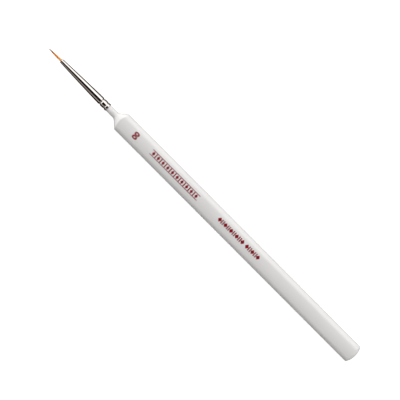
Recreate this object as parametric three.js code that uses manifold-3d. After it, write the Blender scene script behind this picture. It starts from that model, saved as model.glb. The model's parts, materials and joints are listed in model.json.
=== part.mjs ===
// A fine detail brush: a bundle of hairs in a crimped metal ferrule on a triangular wooden handle.
//
// Millimetres, +Z up. The brush lies on one face of its handle: its axis runs along X, with the
// hairs' point at -X and the handle's end at +X. Each piece is drawn in the brush's own frame,
// where y is the distance from the hairs' point along the axis, and the group lays that frame down.

import * as THREE from "three";
import * as BufferGeometryUtils from "three/addons/utils/BufferGeometryUtils.js";
import Module from "manifold-3d";

const wasm = await Module();
wasm.setup();

// ---- driving dimensions ----

const BRUSH_LENGTH = 185;

// Places along the brush, measured from the hairs' point.
const FERRULE_MOUTH = 7.4;
const TUFT_BUTT = 15.4;
const TENON_FRONT = 24.0;
const BODY_END = 31.2;
const FERRULE_END = 35.7;
const CONE_START = 40.8;

// Tuft: the exposed hairs are in four sections, so that they can bend. Their shares are parts of the
// exposed length, and the bundle keeps its full radius down to FULL_SHARE.
const TUFT_RADIUS = 0.55;
const TUFT_BUTT_RADIUS = 0.72;
const FULL_SHARE = 0.72;
const TAPER_POWER = 0.82;
const TAPER_BULGE = 0.32;
const SECTION_SHARES = [1, 0.78, 0.56, 0.36];
const SECTION_GAP = 0.03;
const SECTION_RELIEF_DEG = 16;
const SECTION_STEPS = 4;
const POINT_RADIUS = 0.04;
const ROOT_FLARE = { from: 1, to: 6 };

// Ferrule: outer radii along the drawn tube, and the two rolled crimps at its rear.
const FERRULE_WALL = 0.24;
const MOUTH_RADIUS = 0.97;
const MOUTH_BORE_RADIUS = 0.63;
const MOUTH_LIP_LENGTH = 0.35;
const MOUTH_THROAT_LENGTH = 0.4;
const LIP_ROUNDING = 0.12;
const BODY_RADIUS = 1.78;
const BODY_SWELL = 0.055;
const BAND_RADIUS = 1.78;
const REAR_LIP_RADIUS = 1.83;
const CRIMPS = [
  { place: 32.0, radius: 1.5, halfWidth: 0.75 },
  { place: 34.4, radius: 1.62, halfWidth: 0.65 },
];
const TUBE_STATION_STEP = 3;
const STATION_MARGIN = 0.05;

// Hidden pieces inside the ferrule.
const PIECE_CLEARANCE = 0.02;
const GLUE_THICKNESS = 0.06;
const GLUE_LENGTH = 6.6;
const GLUE_SETBACK = 0.5;
const RESIN_REACH = 4.6;
const RESIN_BACKING = 1.5;
const RESIN_POCKET = { narrow: 1.8, wide: 1.6 };
const THREAD_RADIUS = 0.07;
const THREAD_TURNS = 5;
const THREAD_PITCH = 0.17;
const THREAD_SETBACK = 0.4;
const THREAD_STEPS_PER_TURN = 12;
const THREAD_SEGMENTS = 6;

// Handle: round tenon and neck, a cone, then a triangle with bowed faces and fat corners.
const TENON_CHAMFER = 0.3;
const NECK_RADIUS = 1.63;
const NECK_STEP = { radius: 0.05, from: 0.05, to: 0.25 };
const NECK_FILLET = 2.8;
const FILLET_TURNS = 5;
const CONE_SLOPE_DEG = 45;
const FACE_DISTANCE = 3.92;
const FACE_FLAT_WIDTH = 1.6;
const CORNER_CENTRE = 1.9;
const CORNER_RADIUS = 2.9;
const END_DOME_RADIUS = 8.5;
const DOME_STEPS = 6;
const SECTION_SEGMENTS = 7;

const AROUND = 32;
const TUFT_AROUND = 20;
const HANDLE_AROUND = 42;
const CORNER_REACH = CORNER_CENTRE + CORNER_RADIUS;
const SPINDLE_RADIUS = CORNER_REACH + 0.6;

const FINISH = {
  lacquer: { color: 0xe9e7e4, roughness: 0.28, metalness: 0 },
  nickel: { color: 0xb9b4ad, roughness: 0.18, metalness: 1 },
  hair: { color: 0xc4752c, roughness: 0.55, metalness: 0 },
  thread: { color: 0x4a3324, roughness: 0.85, metalness: 0 },
  resin: { color: 0x8a5a2a, roughness: 0.35, metalness: 0 },
  glue: { color: 0xd9cfae, roughness: 0.5, metalness: 0 },
};

// ---- helpers ----

function degrees(angle) {
  return THREE.MathUtils.degToRad(angle);
}

function smooth(t) {
  const s = THREE.MathUtils.clamp(t, 0, 1);
  return s * s * (3 - 2 * s);
}

// Points are [radius, y] pairs of a profile that is turned about the brush's axis.
function turned(points, around = AROUND) {
  const profile = points.map(([radius, y]) => new THREE.Vector2(radius, y));
  return new THREE.LatheGeometry(profile, around);
}

function piece(name, geometry, finish) {
  const material = new THREE.MeshStandardMaterial(finish);
  const mesh = new THREE.Mesh(geometry, material);
  mesh.name = name;
  return mesh;
}

function solid(geometry) {
  const bare = geometry.clone();
  bare.deleteAttribute("normal");
  bare.deleteAttribute("uv");
  const merged = BufferGeometryUtils.mergeVertices(bare, 1e-5);
  const vertProperties = new Float32Array(merged.attributes.position.array);
  const triVerts = new Uint32Array(merged.index.array);
  return new wasm.Manifold(new wasm.Mesh({ numProp: 3, vertProperties, triVerts }));
}

function geometryOf(manifold) {
  const { vertProperties, triVerts } = manifold.getMesh();
  const geometry = new THREE.BufferGeometry();
  geometry.setAttribute("position", new THREE.BufferAttribute(vertProperties, 3));
  geometry.setIndex(new THREE.BufferAttribute(triVerts, 1));
  return geometry;
}

// ---- ferrule ----

// The tube's outer radius before it is crimped: a taper that swells a little between mouth and body,
// then the band between the crimps, then the flared rear lip.
function plainRadius(y) {
  if (y > CRIMPS[1].place) {
    return REAR_LIP_RADIUS;
  }
  if (y > CRIMPS[0].place) {
    return BAND_RADIUS;
  }
  const share = THREE.MathUtils.clamp((y - FERRULE_MOUTH) / (BODY_END - FERRULE_MOUTH), 0, 1);
  const taper = THREE.MathUtils.lerp(MOUTH_RADIUS, BODY_RADIUS, share);
  return taper + BODY_SWELL * Math.sin(Math.PI * share);
}

function ferruleRadius(y) {
  const radii = CRIMPS.map(({ place, radius, halfWidth }) => {
    const depth = 1 - smooth(Math.abs(y - place) / halfWidth);
    return THREE.MathUtils.lerp(plainRadius(y), radius, depth);
  });
  return Math.min(...radii);
}

function ferruleBore(y) {
  return ferruleRadius(y) - FERRULE_WALL;
}

// Places along the ferrule where its profile needs a point: sparse on the tube, close at the crimps.
function ferruleStations(from, to) {
  const stations = [];
  for (let y = FERRULE_MOUTH + MOUTH_LIP_LENGTH; y < BODY_END; y += TUBE_STATION_STEP) {
    stations.push(y);
  }
  for (const { place, halfWidth } of CRIMPS) {
    for (const share of [-1, -0.5, 0, 0.5, 1]) {
      stations.push(place + share * halfWidth);
    }
  }
  const inside = stations.filter((y) => y > from + STATION_MARGIN && y < to - STATION_MARGIN);
  return [from, ...inside.sort((a, b) => a - b), to];
}

function makeFerrule() {
  const lipInner = FERRULE_MOUTH + MOUTH_LIP_LENGTH;
  const outerPlaces = ferruleStations(lipInner, FERRULE_END - LIP_ROUNDING);
  const innerPlaces = ferruleStations(lipInner + MOUTH_THROAT_LENGTH, FERRULE_END);
  const outer = outerPlaces.map((y) => [ferruleRadius(y), y]);
  const inner = innerPlaces.map((y) => [ferruleBore(y), y]);
  const mouth = [
    [MOUTH_BORE_RADIUS, FERRULE_MOUTH + LIP_ROUNDING],
    [MOUTH_BORE_RADIUS + LIP_ROUNDING / 2, FERRULE_MOUTH],
    [MOUTH_RADIUS - LIP_ROUNDING, FERRULE_MOUTH],
    [MOUTH_RADIUS, FERRULE_MOUTH + LIP_ROUNDING],
  ];
  const rearLip = [
    [REAR_LIP_RADIUS - LIP_ROUNDING / 3, FERRULE_END - LIP_ROUNDING / 4],
    [REAR_LIP_RADIUS - LIP_ROUNDING, FERRULE_END],
  ];
  const throat = [MOUTH_BORE_RADIUS, lipInner];
  const profile = [...mouth, ...outer, ...rearLip, ...inner.reverse(), throat, mouth[0]];
  return piece("ferrule", turned(profile), FINISH.nickel);
}

// ---- tuft ----

// Radius of the exposed hairs, from full at the ferrule (share 1) to the point (share 0).
function tuftRadius(share) {
  const s = Math.min(1, share / FULL_SHARE);
  const fullness = s ** TAPER_POWER * (1 + TAPER_BULGE * (1 - s));
  return THREE.MathUtils.lerp(POINT_RADIUS, TUFT_RADIUS, fullness);
}

// Each section has shallow cones at its ends, so that its neighbours can turn without touching.
function makeTuftSection(name, fromShare, toShare) {
  const relief = Math.tan(degrees(SECTION_RELIEF_DEG));
  const front = toShare > 0 ? toShare * FERRULE_MOUTH + SECTION_GAP / 2 : 0;
  const back = fromShare * FERRULE_MOUTH - SECTION_GAP / 2;
  const frontRim = toShare > 0 ? front + tuftRadius(toShare) * relief : 0;
  const backRim = back - tuftRadius(fromShare) * relief;
  const profile = [[0, front]];
  for (let i = 0; i <= SECTION_STEPS; i += 1) {
    const y = THREE.MathUtils.lerp(frontRim, backRim, i / SECTION_STEPS);
    profile.push([tuftRadius(y / FERRULE_MOUTH), y]);
  }
  profile.push([0, back]);
  return piece(name, turned(profile, TUFT_AROUND), FINISH.hair);
}

// The part of the hairs inside the ferrule, which spreads towards its butt.
function makeTuftRoot() {
  const front = FERRULE_MOUTH + SECTION_GAP / 2;
  const profile = [
    [0, front],
    [TUFT_RADIUS, front + TUFT_RADIUS * Math.tan(degrees(SECTION_RELIEF_DEG))],
    [TUFT_RADIUS, FERRULE_MOUTH + ROOT_FLARE.from],
    [TUFT_BUTT_RADIUS, FERRULE_MOUTH + ROOT_FLARE.to],
    [TUFT_BUTT_RADIUS, TUFT_BUTT],
    [0, TUFT_BUTT],
  ];
  return piece("tuft_root", turned(profile, TUFT_AROUND), FINISH.hair);
}

function makeTuft() {
  const names = ["tuft_heel", "tuft_belly", "tuft_taper", "tuft_point"];
  return names.map((name, i) => {
    return makeTuftSection(name, SECTION_SHARES[i], SECTION_SHARES[i + 1] ?? 0);
  });
}

// ---- pieces hidden in the ferrule ----

// A few turns of thread round the root, near its butt.
class ThreadCoil extends THREE.Curve {
  getPoint(t, target = new THREE.Vector3()) {
    const angle = 2 * Math.PI * THREAD_TURNS * t;
    const radius = TUFT_BUTT_RADIUS + THREAD_RADIUS + PIECE_CLEARANCE;
    const y = TUFT_BUTT - THREAD_SETBACK - THREAD_TURNS * THREAD_PITCH * (1 - t);
    return target.set(radius * Math.cos(angle), y, radius * Math.sin(angle));
  }
}

function makeBindingThread() {
  const round = new THREE.Shape();
  round.absarc(0, 0, THREAD_RADIUS, 0, 2 * Math.PI);
  const geometry = new THREE.ExtrudeGeometry(round, {
    extrudePath: new ThreadCoil(),
    steps: THREAD_TURNS * THREAD_STEPS_PER_TURN,
    curveSegments: THREAD_SEGMENTS,
  });
  return piece("binding_thread", geometry, FINISH.thread);
}

// A cup of resin round the tied butt of the hairs, fast to the ferrule's wall. Its pocket is wide
// round the thread and narrow round the bare root.
function makeRootResin() {
  const front = TUFT_BUTT - RESIN_REACH;
  const back = TUFT_BUTT + RESIN_BACKING;
  const pocketEnd = TUFT_BUTT + PIECE_CLEARANCE;
  const narrow = TUFT_BUTT_RADIUS + PIECE_CLEARANCE;
  const wide = TUFT_BUTT_RADIUS + 2 * THREAD_RADIUS + 2 * PIECE_CLEARANCE;
  const wall = [front, (front + back) / 2, back];
  const profile = [
    [0, pocketEnd],
    [wide, pocketEnd],
    [wide, TUFT_BUTT - RESIN_POCKET.wide],
    [narrow, TUFT_BUTT - RESIN_POCKET.narrow],
    [narrow, front],
    ...wall.map((y) => [ferruleBore(y) - PIECE_CLEARANCE, y]),
    [0, back],
  ];
  return piece("root_resin", turned(profile), FINISH.resin);
}

// A sleeve of hardened glue round the front of the tenon.
function makeTenonGlue() {
  const front = TENON_FRONT + GLUE_SETBACK;
  const stations = ferruleStations(front, front + GLUE_LENGTH);
  const outer = stations.map((y) => [ferruleBore(y) - PIECE_CLEARANCE, y]);
  const inner = stations.map((y) => [ferruleBore(y) - PIECE_CLEARANCE - GLUE_THICKNESS, y]);
  const profile = [...outer, ...inner.reverse(), outer[0]];
  return piece("tenon_glue", turned(profile), FINISH.glue);
}

// ---- handle ----

// A tenon that fills the ferrule, pressed in at the crimps as the tube is.
function tenonProfile() {
  const slack = GLUE_THICKNESS + 2 * PIECE_CLEARANCE;
  const stations = ferruleStations(TENON_FRONT + TENON_CHAMFER, FERRULE_END);
  const side = stations.map((y) => [ferruleBore(y) - slack, y]);
  const frontRadius = side[0][0] - TENON_CHAMFER;
  return [[0, TENON_FRONT], [frontRadius, TENON_FRONT], ...side];
}

// The neck, the round fillet that turns it into the cone, and the cone up to past the corners.
function shoulderProfile() {
  const slope = degrees(CONE_SLOPE_DEG);
  const neckEnd = CONE_START - NECK_FILLET * Math.tan(slope / 2);
  const points = [
    [NECK_RADIUS - NECK_STEP.radius, FERRULE_END + NECK_STEP.from],
    [NECK_RADIUS, FERRULE_END + NECK_STEP.to],
  ];
  for (let i = 0; i <= FILLET_TURNS; i += 1) {
    const angle = (slope * i) / FILLET_TURNS;
    const radius = NECK_RADIUS + NECK_FILLET * (1 - Math.cos(angle));
    points.push([radius, neckEnd + NECK_FILLET * Math.sin(angle)]);
  }
  const [lastRadius, lastPlace] = points.at(-1);
  points.push([SPINDLE_RADIUS, lastPlace + (SPINDLE_RADIUS - lastRadius) / Math.tan(slope)]);
  return points;
}

// The handle's far end: a shallow dome from past the corners down to the axis.
function domeProfile() {
  const points = [];
  const spread = Math.asin(SPINDLE_RADIUS / END_DOME_RADIUS);
  for (let i = 0; i < DOME_STEPS; i += 1) {
    const angle = spread * (1 - i / DOME_STEPS);
    const y = BRUSH_LENGTH - END_DOME_RADIUS * (1 - Math.cos(angle));
    points.push([END_DOME_RADIUS * Math.sin(angle), y]);
  }
  return [...points, [0, BRUSH_LENGTH]];
}

// The handle's section: three bowed faces, each with a narrow flat along its crown, and round corners.
function triangleSection() {
  const half = FACE_FLAT_WIDTH / 2;
  const cornerAcross = CORNER_CENTRE * Math.sin(Math.PI / 3) - half;
  const cornerHeight = CORNER_CENTRE * Math.cos(Math.PI / 3);
  const drop = cornerHeight - FACE_DISTANCE;
  const bowRadius =
    (cornerAcross ** 2 + drop ** 2 - CORNER_RADIUS ** 2) /
    (2 * (FACE_DISTANCE - cornerHeight - CORNER_RADIUS));
  const bowSpread = Math.atan2(cornerAcross, drop + bowRadius);
  const section = new THREE.Shape();
  for (let face = 0; face < 3; face += 1) {
    const facing = Math.PI / 2 + (face * 2 * Math.PI) / 3;
    const out = new THREE.Vector2(Math.cos(facing), Math.sin(facing));
    const along = new THREE.Vector2(-out.y, out.x);
    const middle = out.clone().multiplyScalar(FACE_DISTANCE - bowRadius);
    const near = middle.clone().addScaledVector(along, -half);
    const far = middle.clone().addScaledVector(along, half);
    const cornerFacing = facing + Math.PI / 3;
    const corner = new THREE.Vector2(Math.cos(cornerFacing), Math.sin(cornerFacing));
    corner.multiplyScalar(CORNER_CENTRE);
    section.absarc(near.x, near.y, bowRadius, facing - bowSpread, facing);
    section.absarc(far.x, far.y, bowRadius, facing, facing + bowSpread);
    const turnEnd = cornerFacing + Math.PI / 3 - bowSpread;
    section.absarc(corner.x, corner.y, CORNER_RADIUS, facing + bowSpread, turnEnd);
  }
  return section;
}

function makeHandle() {
  const outline = [...tenonProfile(), ...shoulderProfile(), ...domeProfile()];
  const spindle = turned(outline, HANDLE_AROUND);
  const stick = new THREE.ExtrudeGeometry(triangleSection(), {
    depth: BRUSH_LENGTH,
    bevelEnabled: false,
    curveSegments: SECTION_SEGMENTS,
    steps: 1,
  });
  stick.rotateX(-Math.PI / 2);
  stick.translate(0, TENON_FRONT / 2, 0);
  const handle = solid(spindle).intersect(solid(stick));
  return piece("handle", geometryOf(handle), FINISH.lacquer);
}

// ---- the brush ----

const brush = new THREE.Group();
brush.add(
  makeHandle(),
  makeFerrule(),
  makeTenonGlue(),
  makeRootResin(),
  makeBindingThread(),
  makeTuftRoot(),
  ...makeTuft(),
);
brush.rotation.z = -Math.PI / 2;
brush.position.set(-BRUSH_LENGTH / 2, 0, FACE_DISTANCE);

const detailBrush = new THREE.Group();
detailBrush.add(brush);

export default detailBrush;
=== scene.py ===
"""The looks of a fine detail brush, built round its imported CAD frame.

The brush lies along X with its tuft's point at -X. Lengths are in metres. Places come from the CAD
nodes' boxes and the joints' pivots; the constants are the finer sizes that the frame leaves out.
"""

import json
import math
import random

import bmesh
import bpy
from mathutils import Matrix, Vector


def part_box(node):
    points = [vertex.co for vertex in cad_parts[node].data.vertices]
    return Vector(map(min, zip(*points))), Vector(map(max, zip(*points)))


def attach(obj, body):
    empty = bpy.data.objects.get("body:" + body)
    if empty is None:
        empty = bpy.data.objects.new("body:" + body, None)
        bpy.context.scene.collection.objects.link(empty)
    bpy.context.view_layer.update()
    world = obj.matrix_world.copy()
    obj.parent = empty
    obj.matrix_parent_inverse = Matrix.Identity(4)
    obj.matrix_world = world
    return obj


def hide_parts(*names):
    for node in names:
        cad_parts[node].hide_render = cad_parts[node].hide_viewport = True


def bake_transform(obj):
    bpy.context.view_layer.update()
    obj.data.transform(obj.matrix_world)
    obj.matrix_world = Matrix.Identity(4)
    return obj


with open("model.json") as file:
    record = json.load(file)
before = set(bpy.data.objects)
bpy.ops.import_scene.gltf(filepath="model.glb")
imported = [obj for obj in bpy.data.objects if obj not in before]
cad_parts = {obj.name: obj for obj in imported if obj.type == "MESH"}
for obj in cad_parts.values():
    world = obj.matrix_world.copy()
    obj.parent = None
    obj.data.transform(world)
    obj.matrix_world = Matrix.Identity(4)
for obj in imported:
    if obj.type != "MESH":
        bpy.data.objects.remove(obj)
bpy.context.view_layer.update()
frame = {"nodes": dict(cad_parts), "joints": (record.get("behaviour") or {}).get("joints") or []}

MM = 0.001

# ---- places from the frame ----

PIVOTS = [joint["pos_m"] for joint in frame["joints"]]
MOUTH_X = PIVOTS[0][0]
AXIS_Z = PIVOTS[0][2]
POINT_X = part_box("tuft_point")[0].x
BUTT_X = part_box("tuft_root")[1].x
TUFT_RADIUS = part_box("tuft_heel")[1].z - AXIS_Z
FERRULE_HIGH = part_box("ferrule")[1]
HANDLE_LOW, HANDLE_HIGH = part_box("handle")

# ---- handle ----

# Half the width of the flat strip along each bowed face's crown.
FACE_FLAT = 0.1 * MM
CORNER_RADIUS = 2.7 * MM
CORNER_TURN = math.radians(60)
TENON_RADIUS = 1.4 * MM
TENON_CHAMFER = 0.15 * MM
TENON_FRONT_RING = 0.6 * TENON_RADIUS
NECK_RADIUS = 1.63 * MM
CONE_START_X = FERRULE_HIGH.x + 5.1 * MM
NECK_FILLET = 2.8 * MM
SHOULDER_ROUND = 0.5 * MM
END_ROUND = 0.45 * MM
DOME_RADIUS = 8.5 * MM
CONE_SLOPE = math.radians(45)
# The tenon stops short of the ferrule's end, and the neck starts there with a rounded lip and
# runs straight for a while before its own rings begin.
TENON_SHORTFALL = 0.1 * MM
NECK_LIP = 0.12 * MM
NECK_RUN = 0.9 * MM
HANDLE_AROUND = 144
# How many steps each stretch of the handle's side is drawn with.
NECK_STEPS = 3
FILLET_STEPS = 8
SHOULDER_STEPS = 10
LENGTH_STEPS = 36
END_STEPS = 8
DOME_STEPS = 10

# ---- ferrule ----

MOUTH_RADIUS = 0.97 * MM
MOUTH_BORE = 0.63 * MM
MOUTH_LIP = 0.13 * MM
LIP_LENGTH = 0.5 * MM
BORE_LENGTH = 1.2 * MM
TUBE_WALL = 0.24 * MM
BODY_END_X = FERRULE_HIGH.x - 4.5 * MM
BODY_RADIUS = 1.78 * MM
BODY_SWELL = 0.055 * MM
BAND_RADIUS = 1.78 * MM
REAR_LIP_RADIUS = 1.83 * MM
REAR_ROUND = 0.08 * MM
# Each crimp: its place, its radius and how far it spreads to either side.
CRIMPS = [
    (FERRULE_HIGH.x - 3.7 * MM, 1.5 * MM, 0.66 * MM),
    (FERRULE_HIGH.x - 1.3 * MM, 1.6 * MM, 0.58 * MM),
]
FERRULE_AROUND = 128
BODY_STEPS = 26
REAR_STEPS = 60

# ---- tuft ----

# A share of the tuft's length is measured from its point, so it is 1 at the ferrule's mouth.
FULL_SHARE = 0.72
POINT_RADIUS = 0.06 * MM
TAPER_POWER = 0.7
TAPER_FULLNESS = 0.3
TUFT_DROOP = 0.12 * MM
DROOP_SHARE = 0.35
ROOT_PAST_MOUTH = 0.4 * MM

HAIR_COUNT = 260
HAIR_SEED = 7
HAIR_RADIUS = 0.034 * MM
HAIR_THICKNESSES = (0.8, 1.15)
HAIR_SIDES = 5
# How much of its length the shortest hair lacks, in the bundle's middle and at its outside.
SHORTEST_LACKS = (0.03, 0.2)
GOLDEN_ANGLE = math.pi * (3 - math.sqrt(5))
ANGLE_JITTER = 0.2
WANDER = 0.25
PACKING_DEPTH = 0.05
PACKING_WAVES = 9
# Where along its own length a hair starts to thin, how suddenly, and how thin it gets.
THINNING_FROM = 0.35
THINNING_POWER = 2.2
THINNEST = 0.2

ROOT_RINGS = 4
PIECE_RINGS = 8
# How far the ring inside a cut end is from it, as a share of the space between rings.
CAP_SHARE = 0.01

# ---- print ----

PRINT_LIFT = 0.006 * MM
PRINT_THICKNESS = 0.012 * MM
# How far the print stands from the face's crown, towards the handle's ridge.
PRINT_OFFSET = 0.5 * MM
# A bar's grid follows the bowed face: the length and the width of one of its cells.
CELL = (2 * MM, 0.3 * MM)
LOZENGE_POINTS = 9

# Lengths of marks are along the brush and widths are across it.
SIZE_MARK_X = POINT_X + 52.6 * MM
SIZE_RING = (2.5 * MM, 1.64 * MM)
SIZE_STROKE = (0.7 * MM, 0.55 * MM)
SIZE_SPREAD = 0.84 * MM
RING_POINTS = 41
RING_SQUARENESS = 2.4

BAND_FROM_X = POINT_X + 62.0 * MM
BAND_TO_X = POINT_X + 90.3 * MM
BAND_SPREAD = 1.16 * MM
RULE_WIDTH = 0.3 * MM
BAND_COUNT = 10
BAND_LOZENGE = (1.5 * MM, 1.95 * MM)
BAND_BAR = (0.5 * MM, 1.9 * MM)

# Each row of strokes: its first mark's place, its last mark's place and how many marks it has.
STROKE_ROWS = [
    (POINT_X + 103.1 * MM, POINT_X + 116.6 * MM, 9),
    (POINT_X + 119.3 * MM, POINT_X + 125.9 * MM, 5),
]
ROW_ACROSS = 0.2 * MM
ROW_LOZENGE = (1.9 * MM, 2.3 * MM)
ROW_BAR = (0.5 * MM, 2.1 * MM)
ROW_BAR_SPREAD = 0.45 * MM

# ---- camera and floor ----

CAMERA_ELEVATION = math.radians(39)
CAMERA_ROLL = math.radians(45.11)
CAMERA_FRAME = 170.5 * MM
# The middle of the picture: how far along the brush, and how far to the side of its axis.
CAMERA_AIM = (-1.3 * MM, -0.055 * MM)
LENS = 300
SENSOR = 36
FLOOR_REACH = 6.0
FLOOR_SHADE = 0.45
FLOOR_GLOW = 0.8


# ---- meshes ----

def add_object(name, data):
    piece = bpy.data.objects.new(name, data)
    bpy.context.scene.collection.objects.link(piece)
    return piece


def make_object(name, points, faces, material, smooth=True):
    mesh = bpy.data.meshes.new(name)
    mesh.from_pydata([tuple(p) for p in points], [], faces)
    shape = bmesh.new()
    shape.from_mesh(mesh)
    bmesh.ops.remove_doubles(shape, verts=shape.verts, dist=1e-8)
    bmesh.ops.recalc_face_normals(shape, faces=shape.faces)
    shape.to_mesh(mesh)
    shape.free()
    mesh.polygons.foreach_set("use_smooth", [smooth] * len(mesh.polygons))
    mesh.materials.append(material)
    return add_object(name, mesh)


def ring_faces(first, second, around):
    """Faces between two rings of points, given the index of each ring's first point."""
    faces = []
    for i in range(around):
        j = (i + 1) % around
        faces.append((first + i, first + j, second + j, second + i))
    return faces


def turned(name, profile, around, material):
    """A closed [(x, radius), ...] profile turned about the brush's axis."""
    points = []
    faces = []
    for x, radius in profile:
        for i in range(around):
            angle = 2 * math.pi * i / around
            points.append((x, radius * math.cos(angle), AXIS_Z + radius * math.sin(angle)))
    count = len(profile)
    for k in range(count):
        faces += ring_faces(k * around, ((k + 1) % count) * around, around)
    return make_object(name, points, faces, material)


def steps(low, high, count):
    """The count + 1 evenly spaced values from low to high."""
    return [low + (high - low) * i / count for i in range(count + 1)]


def smooth_step(t):
    """0 to 1 with level ends, as t goes from 0 to 1."""
    t = min(1.0, max(0.0, t))
    return t * t * (3 - 2 * t)


def mix(a, b, t):
    return a + (b - a) * t


# ---- materials ----

class Tree:
    """A node tree, with short calls for what every tree here needs."""

    def __init__(self, owner):
        owner.use_nodes = True
        self.tree = owner.node_tree

    def add(self, kind, **settings):
        node = self.tree.nodes.new(kind)
        for key, value in settings.items():
            setattr(node, key, value)
        return node

    def link(self, output, socket):
        self.tree.links.new(output, socket)

    def ramp(self, fac, stops):
        ramp = self.add("ShaderNodeValToRGB")
        elements = ramp.color_ramp.elements
        while len(elements) < len(stops):
            elements.new(0.5)
        for element, (position, color) in zip(elements, stops):
            element.position = position
            element.color = (*color, 1.0)
        self.link(fac, ramp.inputs["Fac"])
        return ramp.outputs["Color"]


# The part of its range that Blender's noise mostly keeps to.
NOISE_LOW = 0.3
NOISE_HIGH = 0.7


class Nodes(Tree):
    """A material's node tree, with short calls for the nodes that the finishes share."""

    def __init__(self, name):
        self.material = bpy.data.materials.new(name)
        super().__init__(self.material)
        self.shader = self.tree.nodes["Principled BSDF"]

    def set(self, **values):
        for key, value in values.items():
            self.shader.inputs[key.replace("_", " ")].default_value = value

    def place(self, scale):
        """Object coordinates, stretched: scale is in features per metre along X, Y and Z."""
        where = self.add("ShaderNodeTexCoord")
        stretch = self.add("ShaderNodeMapping")
        stretch.inputs["Scale"].default_value = scale
        self.link(where.outputs["Object"], stretch.inputs["Vector"])
        return stretch.outputs["Vector"]

    def noise(self, scale, detail=4.0, roughness=0.55):
        texture = self.add("ShaderNodeTexNoise")
        texture.inputs["Scale"].default_value = 1.0
        texture.inputs["Detail"].default_value = detail
        texture.inputs["Roughness"].default_value = roughness
        self.link(self.place(scale), texture.inputs["Vector"])
        return texture.outputs["Fac"]

    def span(self, value, low, high):
        """A noise value, taken to run from low to high."""
        node = self.add("ShaderNodeMapRange")
        node.inputs["From Min"].default_value = NOISE_LOW
        node.inputs["From Max"].default_value = NOISE_HIGH
        node.inputs["To Min"].default_value = low
        node.inputs["To Max"].default_value = high
        self.link(value, node.inputs["Value"])
        return node.outputs["Result"]

    def bump(self, height, distance, below=None):
        """A bumped normal of this height in metres, over the one below it where that is given."""
        node = self.add("ShaderNodeBump")
        node.inputs["Distance"].default_value = distance
        node.inputs["Strength"].default_value = 1.0
        self.link(height, node.inputs["Height"])
        if below is not None:
            self.link(below, node.inputs["Normal"])
        return node.outputs["Normal"]

    def multiply(self, a, b):
        node = self.add("ShaderNodeMix", data_type="RGBA", blend_type="MULTIPLY")
        node.inputs["Factor"].default_value = 1.0
        self.link(a, node.inputs["A"])
        self.link(b, node.inputs["B"])
        return node.outputs["Result"]


def white_lacquer():
    """Dipped white gloss lacquer: orange peel, and the wood's long grain just telling through."""
    nodes = Nodes("white_lacquer")
    grain = nodes.noise((60, 1800, 1800), detail=3)
    peel = nodes.noise((900, 900, 900), detail=2)
    clouds = nodes.noise((40, 160, 160), detail=3)
    tint = nodes.ramp(clouds, [
        (NOISE_LOW, (0.735, 0.725, 0.712)),
        (NOISE_HIGH, (0.765, 0.757, 0.747)),
    ])
    nodes.link(tint, nodes.shader.inputs["Base Color"])
    nodes.link(nodes.span(grain, 0.34, 0.42), nodes.shader.inputs["Roughness"])
    waves = nodes.bump(peel, 0.004 * MM)
    nodes.link(nodes.bump(grain, 0.002 * MM, below=waves), nodes.shader.inputs["Normal"])
    nodes.set(Coat_Weight=0.35, Coat_Roughness=0.16, IOR=1.45)
    return nodes.material


def bright_nickel():
    """Nickel plate on a drawn tube: fine lines along the draw, and a warm tarnish in patches."""
    nodes = Nodes("bright_nickel")
    lines = nodes.noise((90, 9000, 9000), detail=4, roughness=0.7)
    patches = nodes.noise((300, 900, 900), detail=3)
    tint = nodes.ramp(patches, [(NOISE_LOW, (0.78, 0.755, 0.73)), (0.72, (0.70, 0.665, 0.63))])
    streaks = nodes.ramp(lines, [(0.35, (0.86, 0.84, 0.82)), (0.6, (1.0, 1.0, 1.0))])
    nodes.link(nodes.multiply(tint, streaks), nodes.shader.inputs["Base Color"])
    nodes.link(nodes.span(lines, 0.03, 0.08), nodes.shader.inputs["Roughness"])
    nodes.link(nodes.bump(lines, 0.0015 * MM), nodes.shader.inputs["Normal"])
    nodes.set(Metallic=1.0)
    return nodes.material


def hair_finish():
    """Golden brown hairs: pale at the ferrule, partly with painted glow of light shining through
    them there, dark at the point, no two quite alike.

    The attribute along runs from 0 at the ferrule to 1 at the point; strand is each hair's shade.
    """
    nodes = Nodes("brown_hair")
    along = nodes.add("ShaderNodeAttribute", attribute_name="along").outputs["Fac"]
    strand = nodes.add("ShaderNodeAttribute", attribute_name="strand").outputs["Fac"]
    # The bright pale orange near the ferrule is partly the hairs' own colour and partly painted
    # glow of light shining through the hairs; towards the point they darken to their own dark
    # brown.
    length = nodes.ramp(along, [
        (0.0, (1.0, 0.56, 0.20)),
        (0.2, (1.0, 0.46, 0.11)),
        (0.32, (0.95, 0.38, 0.07)),
        (0.45, (0.86, 0.29, 0.03)),
        (0.6, (0.74, 0.20, 0.012)),
        (0.75, (0.52, 0.125, 0.008)),
        (0.88, (0.34, 0.085, 0.008)),
        (1.0, (0.22, 0.07, 0.012)),
    ])
    shades = nodes.ramp(strand, [
        (0.0, (0.78, 0.71, 0.64)),
        (0.3, (0.95, 0.92, 0.89)),
        (0.8, (1.0, 1.0, 1.0)),
        (1.0, (1.0, 1.0, 1.0)),
    ])
    nodes.link(nodes.multiply(length, shades), nodes.shader.inputs["Base Color"])
    scales = nodes.noise((4000, 30000, 30000), detail=2)
    nodes.link(nodes.span(scales, 0.32, 0.5), nodes.shader.inputs["Roughness"])
    nodes.link(nodes.bump(scales, 0.002 * MM), nodes.shader.inputs["Normal"])
    nodes.set(Specular_IOR_Level=0.2)
    return nodes.material


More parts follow.
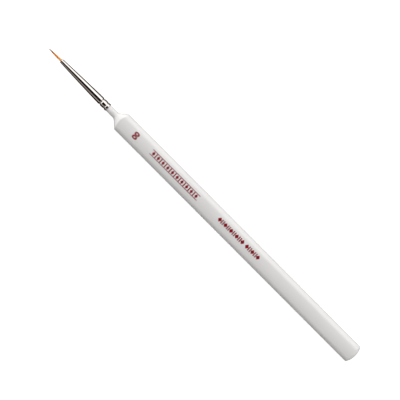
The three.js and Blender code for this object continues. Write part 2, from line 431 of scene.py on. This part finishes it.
def maroon_foil():
    """Hot-stamped maroon foil, finely speckled by the lacquer below it."""
    nodes = Nodes("maroon_foil")
    speckle = nodes.noise((5000, 5000, 5000), detail=3)
    tint = nodes.ramp(speckle, [
        (NOISE_LOW, (0.20, 0.0, 0.008)),
        (NOISE_HIGH, (0.29, 0.002, 0.014)),
    ])
    nodes.link(tint, nodes.shader.inputs["Base Color"])
    nodes.link(nodes.span(speckle, 0.5, 0.65), nodes.shader.inputs["Roughness"])
    nodes.set(Specular_IOR_Level=0.2)
    nodes.link(nodes.bump(speckle, 0.002 * MM), nodes.shader.inputs["Normal"])
    return nodes.material


def hidden_finish(name, low, high, scale, roughness, depth):
    """The finish of a piece inside the ferrule: two shades of one colour and a fine grain."""
    nodes = Nodes(name)
    grain = nodes.noise(scale, detail=3)
    tint = nodes.ramp(grain, [(NOISE_LOW, low), (NOISE_HIGH, high)])
    nodes.link(tint, nodes.shader.inputs["Base Color"])
    nodes.link(nodes.bump(grain, depth), nodes.shader.inputs["Normal"])
    nodes.set(Roughness=roughness)
    return nodes.material


# ---- the handle's section ----

# Three bowed faces and three round corners. Seen along the brush from one face, u is across it and
# h is out from the axis; each corner's circle and the bow's circle touch without a step.
CORNER_CENTRE = HANDLE_HIGH.z - AXIS_Z - CORNER_RADIUS
FACE_DISTANCE = AXIS_Z
CORNER_U = CORNER_CENTRE * math.sin(CORNER_TURN)
CORNER_H = CORNER_CENTRE * math.cos(CORNER_TURN)
BOW_RADIUS = (
    (CORNER_U - FACE_FLAT) ** 2 + (CORNER_H - FACE_DISTANCE) ** 2 - CORNER_RADIUS ** 2
) / (2 * (FACE_DISTANCE - CORNER_H - CORNER_RADIUS))
BOW_CENTRE_H = FACE_DISTANCE - BOW_RADIUS
BOW_SPREAD = math.atan2(CORNER_U - FACE_FLAT, CORNER_H - BOW_CENTRE_H)


def circle_reach(centre_u, centre_h, radius, turn):
    """Distance from the axis to a circle's far side, along a ray at turn from the face's normal."""
    along = centre_u * math.sin(turn) + centre_h * math.cos(turn)
    return along + math.sqrt(along ** 2 - centre_u ** 2 - centre_h ** 2 + radius ** 2)


def section_reach(angle):
    """The handle section's radius at an angle round the axis, measured from straight down."""
    third = 2 * CORNER_TURN
    turn = abs((angle + CORNER_TURN) % third - CORNER_TURN)
    corner_from = math.atan2(
        FACE_FLAT + BOW_RADIUS * math.sin(BOW_SPREAD),
        BOW_CENTRE_H + BOW_RADIUS * math.cos(BOW_SPREAD),
    )
    if turn < math.atan2(FACE_FLAT, FACE_DISTANCE):
        return FACE_DISTANCE / math.cos(turn)
    if turn < corner_from:
        return circle_reach(FACE_FLAT, BOW_CENTRE_H, BOW_RADIUS, turn)
    return circle_reach(CORNER_U, CORNER_H, CORNER_RADIUS, turn)


def face_height(across):
    """The bowed face's distance from the axis, at a distance across from its crown."""
    beyond = max(0.0, abs(across) - FACE_FLAT)
    return BOW_CENTRE_H + math.sqrt(BOW_RADIUS ** 2 - beyond ** 2)


# ---- handle ----

def tenon_profile():
    """The handle inside the ferrule and the rounded start of its neck, as (x, radius) points."""
    front = HANDLE_LOW.x
    back = FERRULE_HIGH.x
    return [
        (front, 0.0),
        (front, TENON_FRONT_RING),
        (front, TENON_RADIUS - TENON_CHAMFER),
        (front + TENON_CHAMFER, TENON_RADIUS),
        (back - TENON_SHORTFALL, TENON_RADIUS),
        (back + NECK_LIP / 4, NECK_RADIUS - NECK_LIP),
        (back + NECK_LIP, NECK_RADIUS - NECK_LIP / 4),
        (back + NECK_LIP * 5 / 2, NECK_RADIUS),
    ]


def side_profile(reach):
    """One side of the handle, neck to end, as (x, radius) points, for this reach of its section."""
    neck_end = CONE_START_X - NECK_FILLET * math.tan(CONE_SLOPE / 2)
    neck = steps(FERRULE_HIGH.x + NECK_RUN, neck_end, NECK_STEPS)[:-1]
    points = [(x, NECK_RADIUS) for x in neck]
    for turn in steps(0, CONE_SLOPE, FILLET_STEPS):
        radius = NECK_RADIUS + NECK_FILLET * (1 - math.cos(turn))
        points.append((neck_end + NECK_FILLET * math.sin(turn), radius))
    foot_x, foot_radius = points[-1]
    edge_x = foot_x + reach - foot_radius
    tangent = SHOULDER_ROUND * math.tan(CONE_SLOPE / 2)
    for share in steps(0, 1, 4)[1:-1]:
        run = share * (reach - foot_radius - tangent * math.sin(CONE_SLOPE))
        points.append((foot_x + run, foot_radius + run))
    for turn in steps(CONE_SLOPE, 0, SHOULDER_STEPS):
        x = edge_x + tangent - SHOULDER_ROUND * math.sin(turn)
        points.append((x, reach - SHOULDER_ROUND * (1 - math.cos(turn))))
    dome_x = HANDLE_HIGH.x - DOME_RADIUS
    across = (reach - END_ROUND) / (DOME_RADIUS - END_ROUND)
    round_x = dome_x + math.sqrt((DOME_RADIUS - END_ROUND) ** 2 - (reach - END_ROUND) ** 2)
    points += [(x, reach) for x in steps(points[-1][0], round_x, LENGTH_STEPS)[1:-1]]
    meet = math.asin(across)
    for turn in steps(math.pi / 2, meet, END_STEPS):
        x = round_x + END_ROUND * math.cos(turn)
        points.append((x, reach - END_ROUND + END_ROUND * math.sin(turn)))
    for turn in steps(meet, 0, DOME_STEPS)[1:]:
        points.append((dome_x + DOME_RADIUS * math.cos(turn), DOME_RADIUS * math.sin(turn)))
    return points


def make_handle(material):
    rings = []
    for i in range(HANDLE_AROUND):
        angle = 2 * math.pi * i / HANDLE_AROUND
        profile = tenon_profile() + side_profile(section_reach(angle))
        side = (math.sin(angle), -math.cos(angle))
        rings.append([(x, r * side[0], AXIS_Z + r * side[1]) for x, r in profile])
    count = len(rings[0])
    points = [rings[i][k] for k in range(count) for i in range(HANDLE_AROUND)]
    faces = []
    for k in range(count - 1):
        faces += ring_faces(k * HANDLE_AROUND, (k + 1) * HANDLE_AROUND, HANDLE_AROUND)
    return make_object("lacquered_handle", points, faces, material)


# ---- ferrule ----

def plain_radius(x):
    """The ferrule's outer radius before it is crimped: tube, then band, then rear lip."""
    if x > CRIMPS[1][0]:
        return REAR_LIP_RADIUS
    if x > CRIMPS[0][0]:
        return BAND_RADIUS
    share = min(1.0, (x - MOUTH_X) / (BODY_END_X - MOUTH_X))
    return mix(MOUTH_RADIUS, BODY_RADIUS, share) + BODY_SWELL * math.sin(math.pi * share)


def ferrule_radius(x):
    """The ferrule's outer radius with its crimps."""
    plain = plain_radius(x)
    return min(
        mix(plain, radius, 1 - smooth_step(abs(x - place) / spread))
        for place, radius, spread in CRIMPS
    )


def rounded_corner(x, radius, size, turns, count=5):
    """Points round a corner's circle, about (x, radius), between two angles in degrees."""
    angles = steps(math.radians(turns[0]), math.radians(turns[1]), count)
    return [(x + size * math.cos(a), radius + size * math.sin(a)) for a in angles]


def make_ferrule(material):
    end = FERRULE_HIGH.x
    lip_x = MOUTH_X + MOUTH_LIP
    profile = rounded_corner(lip_x, MOUTH_BORE + MOUTH_LIP, MOUTH_LIP, (270, 180))
    profile += rounded_corner(lip_x, MOUTH_RADIUS - MOUTH_LIP, MOUTH_LIP, (180, 95))
    crimped_from = CRIMPS[0][0] - CRIMPS[0][2]
    body = steps(MOUTH_X + LIP_LENGTH, crimped_from, BODY_STEPS)
    rear = steps(crimped_from, end - REAR_ROUND, REAR_STEPS)[1:]
    profile += [(x, ferrule_radius(x)) for x in body + rear]
    profile += rounded_corner(
        end - REAR_ROUND, REAR_LIP_RADIUS - REAR_ROUND, REAR_ROUND, (60, 0), count=3
    )
    inner = (body[1:] + rear + [end])[::-1]
    profile += [(x, ferrule_radius(x) - TUBE_WALL) for x in inner]
    profile += [(MOUTH_X + BORE_LENGTH, MOUTH_BORE), (MOUTH_X + LIP_LENGTH, MOUTH_BORE)]
    return turned("plated_ferrule", profile, FERRULE_AROUND, material)


# ---- tuft ----

def tuft_reach(share):
    """Radius of the bundle of hairs, where share is 1 at the ferrule and 0 at the point."""
    if share >= FULL_SHARE:
        return TUFT_RADIUS
    s = max(0.0, share) / FULL_SHARE
    fullness = s ** TAPER_POWER * (1 + TAPER_FULLNESS * (1 - s))
    return mix(POINT_RADIUS, TUFT_RADIUS, fullness)


class Hair:
    """One hair: where it stands in the bundle, how long it is and how it wanders."""

    def __init__(self, index, rng):
        self.spot = math.sqrt((index + 0.5) / HAIR_COUNT)
        self.angle = index * GOLDEN_ANGLE + rng.uniform(-ANGLE_JITTER, ANGLE_JITTER)
        self.reach = 1 - rng.random() ** 2 * mix(*SHORTEST_LACKS, self.spot)
        self.radius = HAIR_RADIUS * rng.uniform(*HAIR_THICKNESSES)
        self.shade = rng.random()
        self.wander = rng.uniform(-WANDER, WANDER)
        self.phase = rng.uniform(0, 2 * math.pi)

    def centre(self, x):
        """The hair's middle at a place along the brush, as (y, z)."""
        share = (x - POINT_X) / (MOUTH_X - POINT_X)
        limit = tuft_reach(share) - self.thickness(x)
        out = self.spot * max(0.0, limit)
        out *= 1 - PACKING_DEPTH * (1 + math.sin(self.phase + PACKING_WAVES * share))
        turn = self.angle + self.wander * (1 - min(1.0, share))
        droop = TUFT_DROOP * smooth_step((1 - share) / DROOP_SHARE)
        return out * math.cos(turn), AXIS_Z - droop + out * math.sin(turn)

    def thickness(self, x):
        """The hair's radius: full to its belly, then tapering to its own point."""
        done = (MOUTH_X - x) / ((MOUTH_X - POINT_X) * self.reach)
        if done <= THINNING_FROM:
            return self.radius
        if done >= 1:
            return 0.0
        thinned = ((done - THINNING_FROM) / (1 - THINNING_FROM)) ** THINNING_POWER
        return self.radius * max(THINNEST, 1 - thinned)


def hair_segment(hair, xs, points, faces, along, strand):
    """Adds the tube of one hair between the first and last of xs, closed at both ends."""
    tip_x = MOUTH_X - (MOUTH_X - POINT_X) * hair.reach
    kept = [x for x in xs if x > tip_x]
    if len(kept) < 2:
        return
    start = len(points)
    ends_here = len(kept) < len(xs)
    for x in kept:
        y, z = hair.centre(x)
        radius = hair.thickness(x)
        for i in range(HAIR_SIDES):
            angle = 2 * math.pi * i / HAIR_SIDES + hair.phase
            points.append((x, y + radius * math.cos(angle), z + radius * math.sin(angle)))
    for k in range(len(kept) - 1):
        ring = start + k * HAIR_SIDES
        faces += ring_faces(ring, ring + HAIR_SIDES, HAIR_SIDES)
    faces.append(tuple(start + i for i in range(HAIR_SIDES)))
    last = start + (len(kept) - 1) * HAIR_SIDES
    if ends_here:
        y, z = hair.centre(tip_x)
        points.append((tip_x, y, z))
        apex = len(points) - 1
        faces += [(last + i, last + (i + 1) % HAIR_SIDES, apex) for i in range(HAIR_SIDES)]
    else:
        faces.append(tuple(last + i for i in range(HAIR_SIDES)))
    for point in points[start:]:
        along.append(min(1.0, max(0.0, (MOUTH_X - point[0]) / (MOUTH_X - POINT_X))))
        strand.append(hair.shade)


def make_hair_piece(name, hairs, from_x, to_x, count, material):
    """The part of every hair between two places along the brush, as one mesh."""
    points, faces, along, strand = [], [], [], []
    xs = steps(from_x, to_x, count)
    # One more ring just inside each end keeps the caps out of the shading of the hairs' sides.
    xs.insert(1, mix(xs[0], xs[1], CAP_SHARE))
    xs.insert(-1, mix(xs[-1], xs[-2], CAP_SHARE))
    for hair in hairs:
        hair_segment(hair, xs, points, faces, along, strand)
    mesh = bpy.data.meshes.new(name)
    mesh.from_pydata(points, [], faces)
    # The caps, which have a hair's number of sides, are flat.
    mesh.polygons.foreach_set("use_smooth", [len(face) != HAIR_SIDES for face in faces])
    for attribute, values in (("along", along), ("strand", strand)):
        mesh.attributes.new(attribute, "FLOAT", "POINT").data.foreach_set("value", values)
    mesh.materials.append(material)
    shape = bmesh.new()
    shape.from_mesh(mesh)
    bmesh.ops.recalc_face_normals(shape, faces=shape.faces)
    shape.to_mesh(mesh)
    shape.free()
    piece = add_object(name, mesh)
    return piece


def make_tuft(material):
    """Hairs in five pieces: the root, then one piece for each joint, cut halfway between pivots."""
    rng = random.Random(HAIR_SEED)
    hairs = [Hair(i, rng) for i in range(HAIR_COUNT)]
    pivots = [pivot[0] for pivot in PIVOTS]
    inside = MOUTH_X + ROOT_PAST_MOUTH
    cuts = [inside] + [(a + b) / 2 for a, b in zip(pivots, pivots[1:])] + [POINT_X]
    root = make_hair_piece("hair_root", hairs, BUTT_X, inside, ROOT_RINGS, material)
    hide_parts("tuft_root")
    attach(root, "root")
    bodies = ["root", "heel", "belly", "taper", "point"]
    for i, body in enumerate(bodies[1:]):
        name = "hair_" + body
        piece = make_hair_piece(name, hairs, cuts[i], cuts[i + 1], PIECE_RINGS, material)
        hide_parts("tuft_" + body)
        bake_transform(piece)


# ---- print on the front face ----

FACE_OUT = Vector((0, -math.cos(math.radians(30)), math.sin(math.radians(30))))
FACE_ACROSS = Vector((0, math.sin(math.radians(30)), math.cos(math.radians(30))))


def on_face(x, across, lift):
    """A point above the front face: across is from the face's crown towards the handle's ridge."""
    height = face_height(across) + lift
    return Vector((x, 0, AXIS_Z)) + FACE_OUT * height + FACE_ACROSS * across


class Stamp:
    """Foil on the front face, gathered as closed thin tiles into one mesh."""

    def __init__(self):
        self.points = []
        self.faces = []

    def tile(self, columns, rows, place):
        """A thin slab on a grid: place(i, j), each 0 to 1, gives a point's (x, across)."""
        start = len(self.points)
        for lift in (PRINT_LIFT, PRINT_LIFT + PRINT_THICKNESS):
            for j in range(rows):
                for i in range(columns):
                    x, across = place(i / (columns - 1), j / (rows - 1))
                    self.points.append(on_face(x, across + PRINT_OFFSET, lift))

        def at(i, j, layer):
            return start + (layer * rows + j) * columns + i

        for j in range(rows - 1):
            for i in range(columns - 1):
                for k in (0, 1):
                    self.faces.append(
                        (at(i, j, k), at(i + 1, j, k), at(i + 1, j + 1, k), at(i, j + 1, k))
                    )
        for i in range(columns - 1):
            for j in (0, rows - 1):
                self.faces.append((at(i, j, 0), at(i + 1, j, 0), at(i + 1, j, 1), at(i, j, 1)))
        for j in range(rows - 1):
            for i in (0, columns - 1):
                self.faces.append((at(i, j, 0), at(i, j + 1, 0), at(i, j + 1, 1), at(i, j, 1)))

    def bar(self, x, across, size):
        """A bar of this (length, width), its middle at (x, across)."""
        def place(i, j):
            return x + (i - 0.5) * size[0], across + (j - 0.5) * size[1]

        columns, rows = (max(2, round(side / cell) + 1) for side, cell in zip(size, CELL))
        self.tile(columns, rows, place)

    def ring(self, x, across, size, stroke):
        """A squarish oval ring of this outer (length, width); stroke is its own, ends and sides."""
        def place(i, j):
            angle = 2 * math.pi * i
            spot = []
            for turn, outer, inset in zip((math.cos(angle), math.sin(angle)), size, stroke):
                reach = abs(turn) ** (2 / RING_SQUARENESS)
                spot.append(math.copysign(reach, turn) * (outer / 2 - j * inset))
            return x + spot[0], across + spot[1]

        self.tile(RING_POINTS, 3, place)

    def lozenge(self, x, across, size):
        """A four-cornered diamond of this (length, width), drawn from its outline to its middle."""
        corners = [(1, 0), (0, 1), (-1, 0), (0, -1), (1, 0)]

        def place(i, j):
            k = min(3, math.floor(4 * i))
            t = 4 * i - k
            along, side = (mix(a, b, t) * (1 - j) for a, b in zip(corners[k], corners[k + 1]))
            return x + along * size[0] / 2, across + side * size[1] / 2

        self.tile(LOZENGE_POINTS, 3, place)

    def make(self, name, material):
        piece = make_object(name, self.points, self.faces, material, smooth=False)
        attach(piece, "root")


def make_print(material):
    """Two plain ovals, a band of lozenges and bars between two rules, and two rows of strokes."""
    size_mark = Stamp()
    for side in (-1, 1):
        size_mark.ring(SIZE_MARK_X, side * SIZE_SPREAD, SIZE_RING, SIZE_STROKE)
    size_mark.make("size_mark", material)

    rules = Stamp()
    band_length = BAND_TO_X - BAND_FROM_X
    for side in (-1, 1):
        rules.bar(BAND_FROM_X + band_length / 2, side * BAND_SPREAD, (band_length, RULE_WIDTH))
    rules.make("band_rules", material)

    lozenges = Stamp()
    pitch = band_length / BAND_COUNT
    for i in range(BAND_COUNT):
        x = BAND_FROM_X + (i + 0.5) * pitch
        lozenges.lozenge(x, 0, BAND_LOZENGE)
        if i < BAND_COUNT - 1:
            lozenges.bar(x + pitch / 2, 0, BAND_BAR)
    lozenges.make("band_lozenges", material)

    strokes = Stamp()
    for first_x, last_x, count in STROKE_ROWS:
        for i, x in enumerate(steps(first_x, last_x, count - 1)):
            if i % 2 == 0:
                strokes.lozenge(x, ROW_ACROSS, ROW_LOZENGE)
            else:
                for side in (-1, 1):
                    strokes.bar(x + side * ROW_BAR_SPREAD, ROW_ACROSS, ROW_BAR)
    strokes.make("stroke_row", material)


# ---- stage ----

def make_floor():
    """White paper under the brush: it takes a faint shadow and glows back to white."""
    corners = [
        (side_x * FLOOR_REACH, side_y * FLOOR_REACH, 0)
        for side_x, side_y in ((-1, -1), (1, -1), (1, 1), (-1, 1))
    ]
    nodes = Nodes("pale_floor")
    nodes.set(Base_Color=(FLOOR_SHADE, FLOOR_SHADE, FLOOR_SHADE, 1), Roughness=0.9)
    nodes.set(Emission_Color=(1, 1, 1, 1), Emission_Strength=FLOOR_GLOW)
    mesh = bpy.data.meshes.new("floor")
    mesh.from_pydata(corners, [], [(0, 1, 2, 3)])
    mesh.materials.append(nodes.material)
    floor = add_object("floor", mesh)
    floor.visible_glossy = False
    floor.visible_diffuse = False


# The studio, as (angle, brightness) round the brush's axis: 0 is the horizon in front of the brush,
# 90 straight up and 180 the horizon behind. GLOSS is what polished pieces mirror: a long softbox
# overhead, a pale strip low in front, and dark screens between them.
GLOSS = [
    (-180, 0.25),
    (-150, 0.02),
    (-64, 0.002),
    (-47, 0.02),
    (-33, 0.52),
    (-17, 0.52),
    (-6, 0.01),
    (4, 0.001),
    (51, 0.001),
    (60, 1.60),
    (112, 1.60),
    (121, 0.12),
    (150, 0.10),
    (180, 0.25),
]
# SOFT is the light that falls on the rest: the softbox, fading at both edges, and the bounce from
# the pale surface below and behind.
SOFT = [
    (-180, 0.20),
    (-120, 0.80),
    (-60, 0.0),
    (35, 0.0),
    (70, 2.0),
    (100, 2.0),
    (120, 0.20),
    (180, 0.20),
]
# Brightness of the studio's two ends, as (mirrored, mirrored straight along the axis, soft), at -X
# and at +X, and how far along X each of these begins and is full.
END_BRIGHTNESS = [(1.5, 0.5, 1.9), (0.3, 0.3, 1.25)]
MIRRORED_END = (0.66, 0.76)
AXIAL_END = (0.9, 0.97)
SOFT_END = (0.4, 0.8)
# Lights above this brightness are white, and the rest of the studio is warmer.
WHITE_ABOVE = 0.6
SCREEN_TINT = (1.0, 0.87, 0.80)


class World(Tree):
    """The world's node tree, with short calls for what the studio needs."""

    def __init__(self, name):
        self.world = bpy.data.worlds.new(name)
        bpy.context.scene.world = self.world
        super().__init__(self.world)
        self.tree.nodes.clear()

    def math(self, operation, first, second):
        node = self.add("ShaderNodeMath", operation=operation)
        for socket, value in zip(node.inputs, (first, second)):
            if isinstance(value, (int, float)):
                socket.default_value = value
            else:
                self.link(value, socket)
        return node.outputs["Value"]

    def background(self, color, strength=1.0):
        node = self.add("ShaderNodeBackground")
        node.inputs["Strength"].default_value = strength
        if isinstance(color, tuple):
            node.inputs["Color"].default_value = (*color, 1)
        else:
            self.link(color, node.inputs["Color"])
        return node.outputs["Background"]

    def pick(self, fac, first, second):
        """The first shader where fac is 0, the second where it is 1."""
        node = self.add("ShaderNodeMixShader")
        self.link(fac, node.inputs["Fac"])
        self.link(first, node.inputs[1])
        self.link(second, node.inputs[2])
        return node.outputs["Shader"]

    def end(self, along, reach, middle, brightness):
        """The middle with a plain end, which fades in between the two values of reach."""
        near = self.add("ShaderNodeMapRange", interpolation_type="SMOOTHSTEP")
        near.inputs["From Min"].default_value, near.inputs["From Max"].default_value = reach
        self.link(along, near.inputs["Value"])
        return self.pick(near.outputs["Result"], middle, self.background((1, 1, 1), brightness))

    def ring(self, share, stops):
        """Bands of light round the brush's axis; share is 0 at -180 degrees and 1 at 180."""
        brightest = max(level for _, level in stops)
        bands = []
        for angle, level in stops:
            tint = (1.0, 1.0, 1.0) if level > WHITE_ABOVE else SCREEN_TINT
            color = tuple(level / brightest * channel for channel in tint)
            bands.append(((angle + 180) / 360, color))
        return self.background(self.ramp(share, bands), brightest)


def make_sky():
    """The studio that polished and soft surfaces see; the camera itself sees white paper."""
    sky = World("studio")
    where = sky.add("ShaderNodeTexCoord")
    split = sky.add("ShaderNodeSeparateXYZ")
    sky.link(where.outputs["Generated"], split.inputs["Vector"])
    front = sky.math("MULTIPLY", split.outputs["Y"], -1)
    turn = sky.math("ARCTAN2", split.outputs["Z"], front)
    share = sky.math("ADD", sky.math("DIVIDE", turn, 2 * math.pi), 0.5)
    path = sky.add("ShaderNodeLightPath")
    mirrored, soft = sky.ring(share, GLOSS), sky.ring(share, SOFT)
    for side, (mirrored_end, axial_end, soft_end) in zip((-1, 1), END_BRIGHTNESS):
        along = sky.math("MULTIPLY", split.outputs["X"], side)
        mirrored = sky.end(along, MIRRORED_END, mirrored, mirrored_end)
        mirrored = sky.end(along, AXIAL_END, mirrored, axial_end)
        soft = sky.end(along, SOFT_END, soft, soft_end)
    studio = sky.pick(path.outputs["Is Glossy Ray"], soft, mirrored)
    seen = sky.pick(path.outputs["Is Camera Ray"], studio, sky.background((1, 1, 1)))
    out = sky.add("ShaderNodeOutputWorld")
    sky.link(seen, out.inputs["Surface"])
    sky.world.cycles.sampling_method = "NONE"


def make_camera():
    """A long lens square to the brush's axis, turned so that the brush runs corner to corner."""
    data = bpy.data.cameras.new("camera")
    data.lens = LENS
    data.sensor_width = SENSOR
    data.clip_start = 0.01
    data.clip_end = 20
    distance = CAMERA_FRAME * LENS / SENSOR
    back = Vector((0, -math.cos(CAMERA_ELEVATION), math.sin(CAMERA_ELEVATION)))
    level_up = Vector((0, math.sin(CAMERA_ELEVATION), math.cos(CAMERA_ELEVATION)))
    centre = Vector((CAMERA_AIM[0], 0, AXIS_Z)) + level_up * CAMERA_AIM[1]
    right = Vector((math.cos(CAMERA_ROLL), 0, 0)) + level_up * math.sin(CAMERA_ROLL)
    up = back.cross(right)
    camera = add_object("camera", data)
    turn = Matrix((right, up, back)).transposed()
    camera.matrix_world = Matrix.Translation(centre + back * distance) @ turn.to_4x4()
    bpy.context.scene.camera = camera


def finish_hidden_nodes():
    """Finishes for the CAD pieces inside the ferrule, which stay as they are."""
    finishes = {
        "tenon_glue": hidden_finish(
            "dried_glue", (0.62, 0.56, 0.40), (0.74, 0.68, 0.50),
            (2500, 2500, 2500), 0.5, 0.01 * MM,
        ),
        "root_resin": hidden_finish(
            "amber_resin", (0.20, 0.09, 0.025), (0.32, 0.16, 0.05),
            (900, 900, 900), 0.3, 0.005 * MM,
        ),
        "binding_thread": hidden_finish(
            "brown_thread", (0.04, 0.025, 0.015), (0.10, 0.06, 0.04),
            (9000, 20000, 20000), 0.85, 0.02 * MM,
        ),
    }
    for node, material in finishes.items():
        slots = frame["nodes"][node].data.materials
        slots.clear()
        slots.append(material)


def main():
    """The stage, then the pieces that replace CAD nodes, the print and the hidden finishes."""
    make_camera()
    make_floor()
    make_sky()
    bpy.context.scene.view_settings.view_transform = "Standard"
    handle = make_handle(white_lacquer())
    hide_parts("handle")
    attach(handle, "root")
    ferrule = make_ferrule(bright_nickel())
    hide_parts("ferrule")
    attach(ferrule, "root")
    make_tuft(hair_finish())
    make_print(maroon_foil())
    finish_hidden_nodes()


main()
